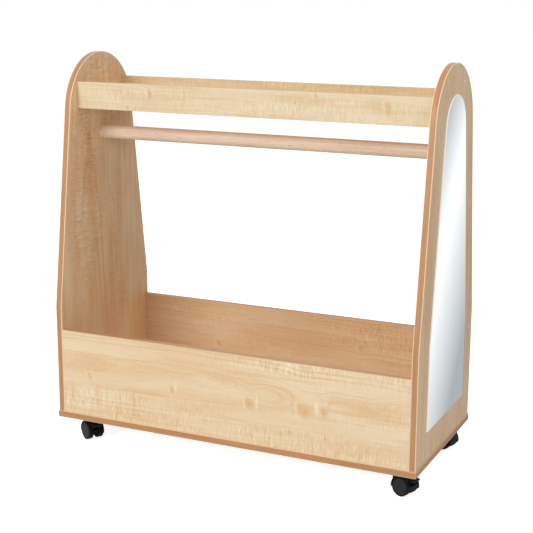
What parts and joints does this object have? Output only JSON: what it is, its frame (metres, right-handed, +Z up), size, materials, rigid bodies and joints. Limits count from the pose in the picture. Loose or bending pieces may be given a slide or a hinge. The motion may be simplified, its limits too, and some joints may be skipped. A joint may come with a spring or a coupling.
{
  "type": "dress-up storage unit with mirror",
  "caption": "Child-height dress-up unit on castors: arch-topped end panels, open trough, hanging rail, top tray and a mirror on one end.",
  "frame": {"origin": "on the floor under the middle of the base board", "axes": "+X along the width towards the mirrored end, +Y to the back, +Z up"},
  "size_m": [1.0563, 0.475, 1.069],
  "materials": {
    "maple_board": "maple-faced melamine board, satin",
    "maple_edging": "thin maple edging, satin",
    "tan_edging": "tan wood-print edging, soft sheen",
    "beech": "turned beech, lacquered",
    "mirror": "polished",
    "tape": "foam tape",
    "steel": "zinc plated",
    "hood_plastic": "black moulded nylon, fine texture",
    "wheel_plastic": "black moulded nylon",
    "cover_plastic": "dark moulded nylon, satin"
  },
  "bodies": {
    "carcass": {"end_panel_left": "maple_board", "end_panel_right": "maple_board", "end_edging_left": "tan_edging", "end_edging_right": "tan_edging", "base_board": "maple_board", "base_edging": "tan_edging", "front_board": "maple_board", "front_board_edging": "tan_edging", "back_board": "maple_board", "back_board_edging": "tan_edging", "tray_shelf": "maple_board", "tray_front_rail": "maple_board", "tray_back_rail": "maple_board", "tray_edging": "maple_edging", "hanging_rail": "beech", "mirror": "mirror", "mirror_tape": "tape", "board_dowels": "beech", "base_screws": "steel", "castor_screws": "steel", "castor_plate_front_left": "steel", "kingpin_front_left": "steel", "castor_plate_front_right": "steel", "kingpin_front_right": "steel", "castor_plate_rear_left": "steel", "kingpin_rear_left": "steel", "castor_plate_rear_right": "steel", "kingpin_rear_right": "steel"},
    "castor_front_left": {"castor_hood_front_left": "hood_plastic", "axle_front_left": "steel", "brake_pin_front_left": "steel"},
    "left_wheel_front_left": {"wheel_left_front_left": "wheel_plastic", "wheel_cover_left_front_left": "cover_plastic"},
    "right_wheel_front_left": {"wheel_right_front_left": "wheel_plastic", "wheel_cover_right_front_left": "cover_plastic"},
    "brake_front_left": {"brake_lever_front_left": "hood_plastic"},
    "castor_front_right": {"castor_hood_front_right": "hood_plastic", "axle_front_right": "steel", "brake_pin_front_right": "steel"},
    "left_wheel_front_right": {"wheel_left_front_right": "wheel_plastic", "wheel_cover_left_front_right": "cover_plastic"},
    "right_wheel_front_right": {"wheel_right_front_right": "wheel_plastic", "wheel_cover_right_front_right": "cover_plastic"},
    "brake_front_right": {"brake_lever_front_right": "hood_plastic"},
    "castor_rear_left": {"castor_hood_rear_left": "hood_plastic", "axle_rear_left": "steel"},
    "left_wheel_rear_left": {"wheel_left_rear_left": "wheel_plastic", "wheel_cover_left_rear_left": "cover_plastic"},
    "right_wheel_rear_left": {"wheel_right_rear_left": "wheel_plastic", "wheel_cover_right_rear_left": "cover_plastic"},
    "castor_rear_right": {"castor_hood_rear_right": "hood_plastic", "axle_rear_right": "steel"},
    "left_wheel_rear_right": {"wheel_left_rear_right": "wheel_plastic", "wheel_cover_left_rear_right": "cover_plastic"},
    "right_wheel_rear_right": {"wheel_right_rear_right": "wheel_plastic", "wheel_cover_right_rear_right": "cover_plastic"}
  },
  "joints": [
    {"name": "swivel_front_left", "type": "hinge", "parent": "carcass", "child": "castor_front_left", "pos_m": [-0.462, -0.187, 0.058], "axis": [0, 0, 1], "continuous": true},
    {"name": "left_wheel_spin_front_left", "type": "hinge", "parent": "castor_front_left", "child": "left_wheel_front_left", "pos_m": [-0.43971, -0.20039, 0.025], "axis": [0.515, 0.8572, 0], "continuous": true},
    {"name": "right_wheel_spin_front_left", "type": "hinge", "parent": "castor_front_left", "child": "right_wheel_front_left", "pos_m": [-0.43971, -0.20039, 0.025], "axis": [0.515, 0.8572, 0], "continuous": true},
    {"name": "brake_front_left", "type": "hinge", "parent": "castor_front_left", "child": "brake_front_left", "pos_m": [-0.42318, -0.21032, 0.04798], "axis": [0.515, 0.8572, 0], "range_deg": [0, 20]},
    {"name": "swivel_front_right", "type": "hinge", "parent": "carcass", "child": "castor_front_right", "pos_m": [0.462, -0.187, 0.058], "axis": [0, 0, 1], "continuous": true},
    {"name": "left_wheel_spin_front_right", "type": "hinge", "parent": "castor_front_right", "child": "left_wheel_front_right", "pos_m": [0.48658, -0.19546, 0.025], "axis": [0.3256, 0.9455, 0], "continuous": true},
    {"name": "right_wheel_spin_front_right", "type": "hinge", "parent": "castor_front_right", "child": "right_wheel_front_right", "pos_m": [0.48658, -0.19546, 0.025], "axis": [0.3256, 0.9455, 0], "continuous": true},
    {"name": "brake_front_right", "type": "hinge", "parent": "castor_front_right", "child": "brake_front_right", "pos_m": [0.50482, -0.20174, 0.04798], "axis": [0.3256, 0.9455, 0], "range_deg": [0, 20]},
    {"name": "swivel_rear_left", "type": "hinge", "parent": "carcass", "child": "castor_rear_left", "pos_m": [-0.462, 0.164, 0.058], "axis": [0, 0, 1], "continuous": true},
    {"name": "left_wheel_spin_rear_left", "type": "hinge", "parent": "castor_rear_left", "child": "left_wheel_rear_left", "pos_m": [-0.43701, 0.15683, 0.025], "axis": [0.2756, 0.9613, 0], "continuous": true},
    {"name": "right_wheel_spin_rear_left", "type": "hinge", "parent": "castor_rear_left", "child": "right_wheel_rear_left", "pos_m": [-0.43701, 0.15683, 0.025], "axis": [0.2756, 0.9613, 0], "continuous": true},
    {"name": "swivel_rear_right", "type": "hinge", "parent": "carcass", "child": "castor_rear_right", "pos_m": [0.462, 0.164, 0.058], "axis": [0, 0, 1], "continuous": true},
    {"name": "left_wheel_spin_rear_right", "type": "hinge", "parent": "castor_rear_right", "child": "left_wheel_rear_right", "pos_m": [0.48699, 0.15683, 0.025], "axis": [0.2756, 0.9613, 0], "continuous": true},
    {"name": "right_wheel_spin_rear_right", "type": "hinge", "parent": "castor_rear_right", "child": "right_wheel_rear_right", "pos_m": [0.48699, 0.15683, 0.025], "axis": [0.2756, 0.9613, 0], "continuous": true}
  ]
}
